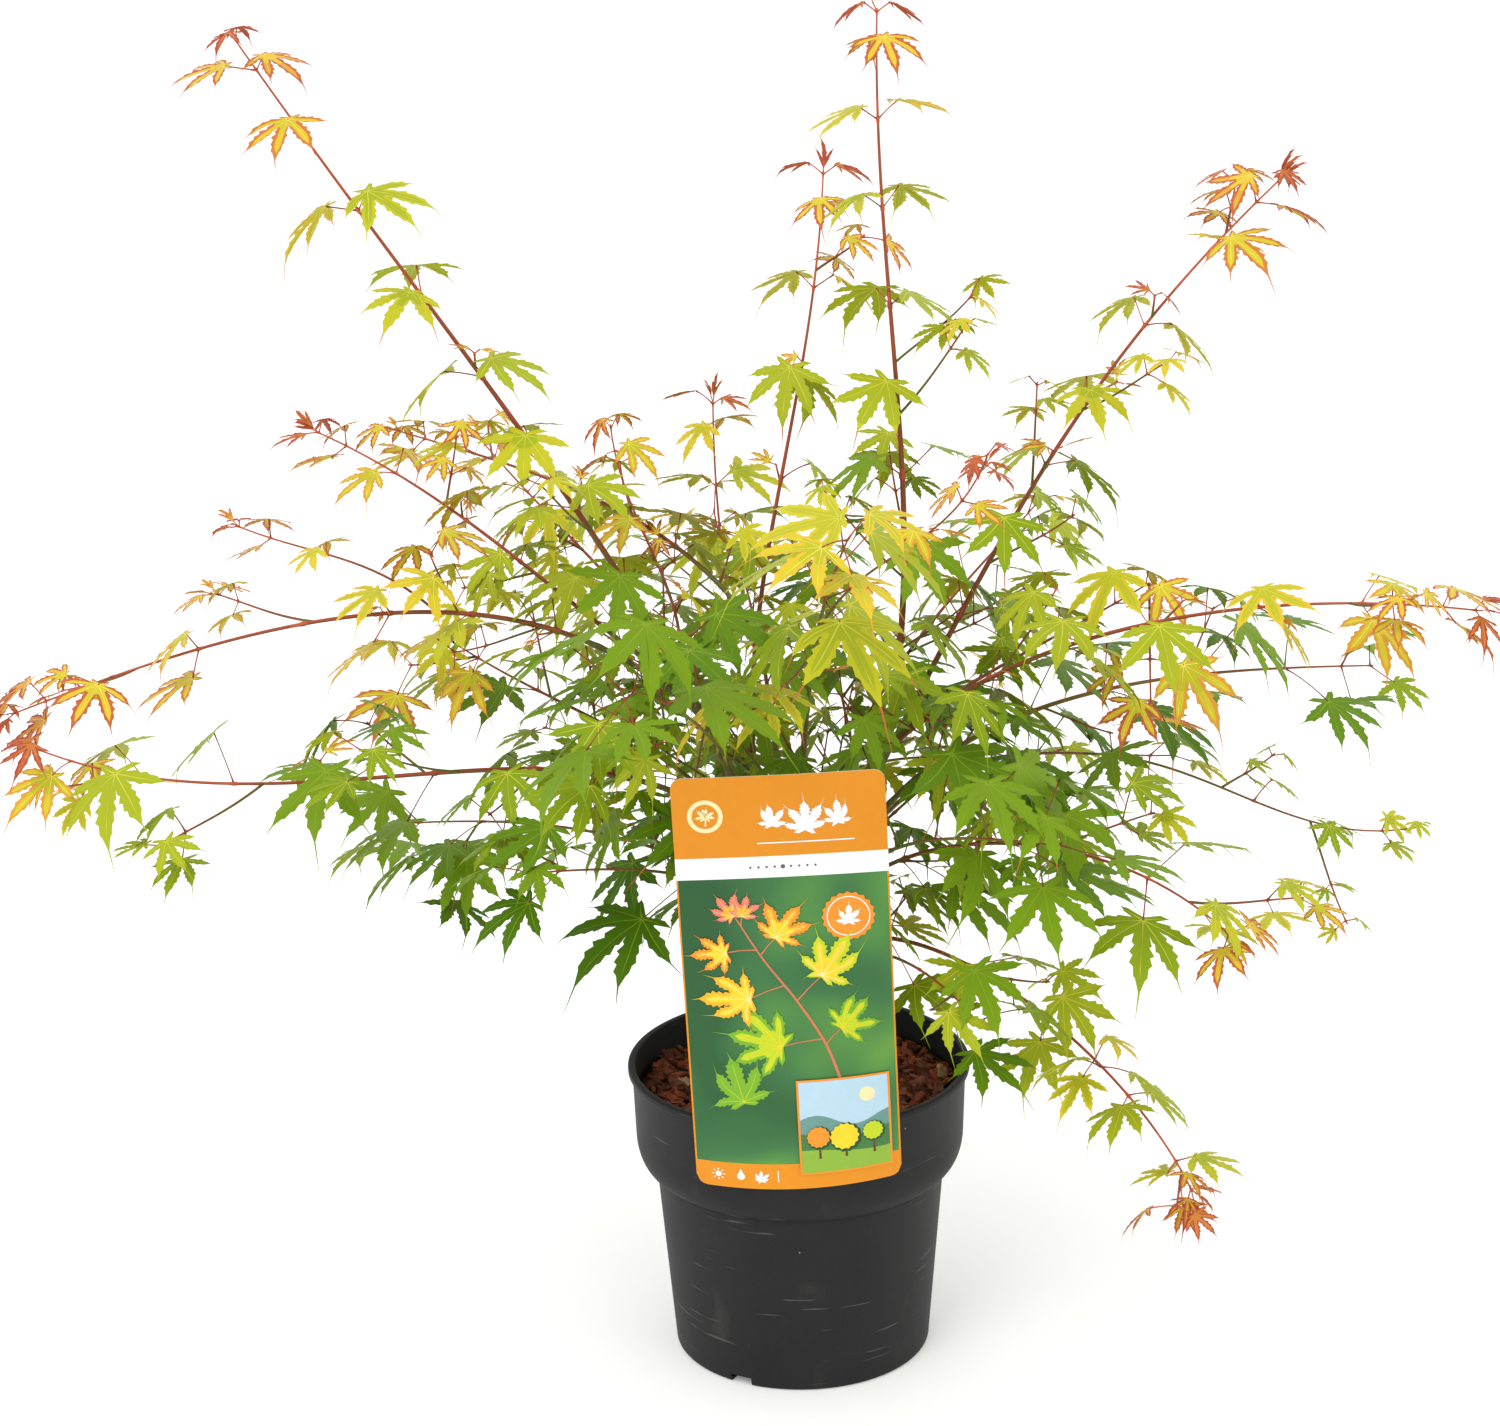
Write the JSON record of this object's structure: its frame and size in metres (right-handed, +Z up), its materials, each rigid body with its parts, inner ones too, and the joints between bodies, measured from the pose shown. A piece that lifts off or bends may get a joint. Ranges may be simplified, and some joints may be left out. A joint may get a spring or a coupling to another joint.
{
  "type": "potted japanese maple",
  "caption": "Young Japanese maple with long arching shoots and hand-shaped leaves, in a round plastic nursery pot with a plain picture card.",
  "frame": {"origin": "middle of the flat underside of the pot, on the surface it stands on", "axes": "+Z up, -Y towards the front with the card, +X to the right seen from the front"},
  "size_m": [0.8135, 0.612, 0.7556],
  "materials": {
    "pot_plastic": "matte black moulded plastic, lightly scuffed",
    "bark_mulch": "red-brown bark chips over dark potting mix",
    "card_board": "coated printed card, satin",
    "bark": "smooth young bark, olive to red-brown",
    "foliage": "soft satin leaves, green to yellow with orange tips"
  },
  "bodies": {
    "root": {"back_centre_bough": "bark", "back_centre_leaves": "foliage", "back_left_bough": "bark", "back_left_leaves": "foliage", "back_low_leaves": "foliage", "back_right_bough": "bark", "back_right_leaves": "foliage", "card_tongue": "card_board", "droop_right_bough": "bark", "droop_right_leaves": "foliage", "front_left_bough": "bark", "front_left_leaves": "foliage", "front_right_bough": "bark", "front_right_leaves": "foliage", "inner_back_leaves": "foliage", "inner_front_leaves": "foliage", "inner_left_leaves": "foliage", "inner_right_leaves": "foliage", "leader_centre_bough": "bark", "leader_centre_leaves": "foliage", "leader_left_bough": "bark", "leader_left_leaves": "foliage", "left_arc_bough": "bark", "left_arc_leaves": "foliage", "left_back_low_leaves": "foliage", "left_far_bough": "bark", "left_far_leaves": "foliage", "left_low_bough": "bark", "left_low_leaves": "foliage", "left_mid_bough": "bark", "left_mid_leaves": "foliage", "left_small_bough": "bark", "left_small_leaves": "foliage", "left_upright_leaves": "foliage", "low_left_bough": "bark", "low_left_leaves": "foliage", "low_right_bough": "bark", "low_right_leaves": "foliage", "middle_front_bough": "bark", "middle_front_leaves": "foliage", "plant_card": "card_board", "pot": "pot_plastic", "rear_upright_leaves": "foliage", "right_cut_bough": "bark", "right_cut_leaves": "foliage", "right_far_bough": "bark", "right_far_leaves": "foliage", "right_long_bough": "bark", "right_long_leaves": "foliage", "right_low_bough": "bark", "right_low_leaves": "foliage", "right_mid_bough": "bark", "right_mid_leaves": "foliage", "second_centre_bough": "bark", "second_centre_leaves": "foliage", "soil": "bark_mulch", "trunk": "bark", "upper_right_bough": "bark", "upper_right_leaves": "foliage"}
  },
  "joints": []
}
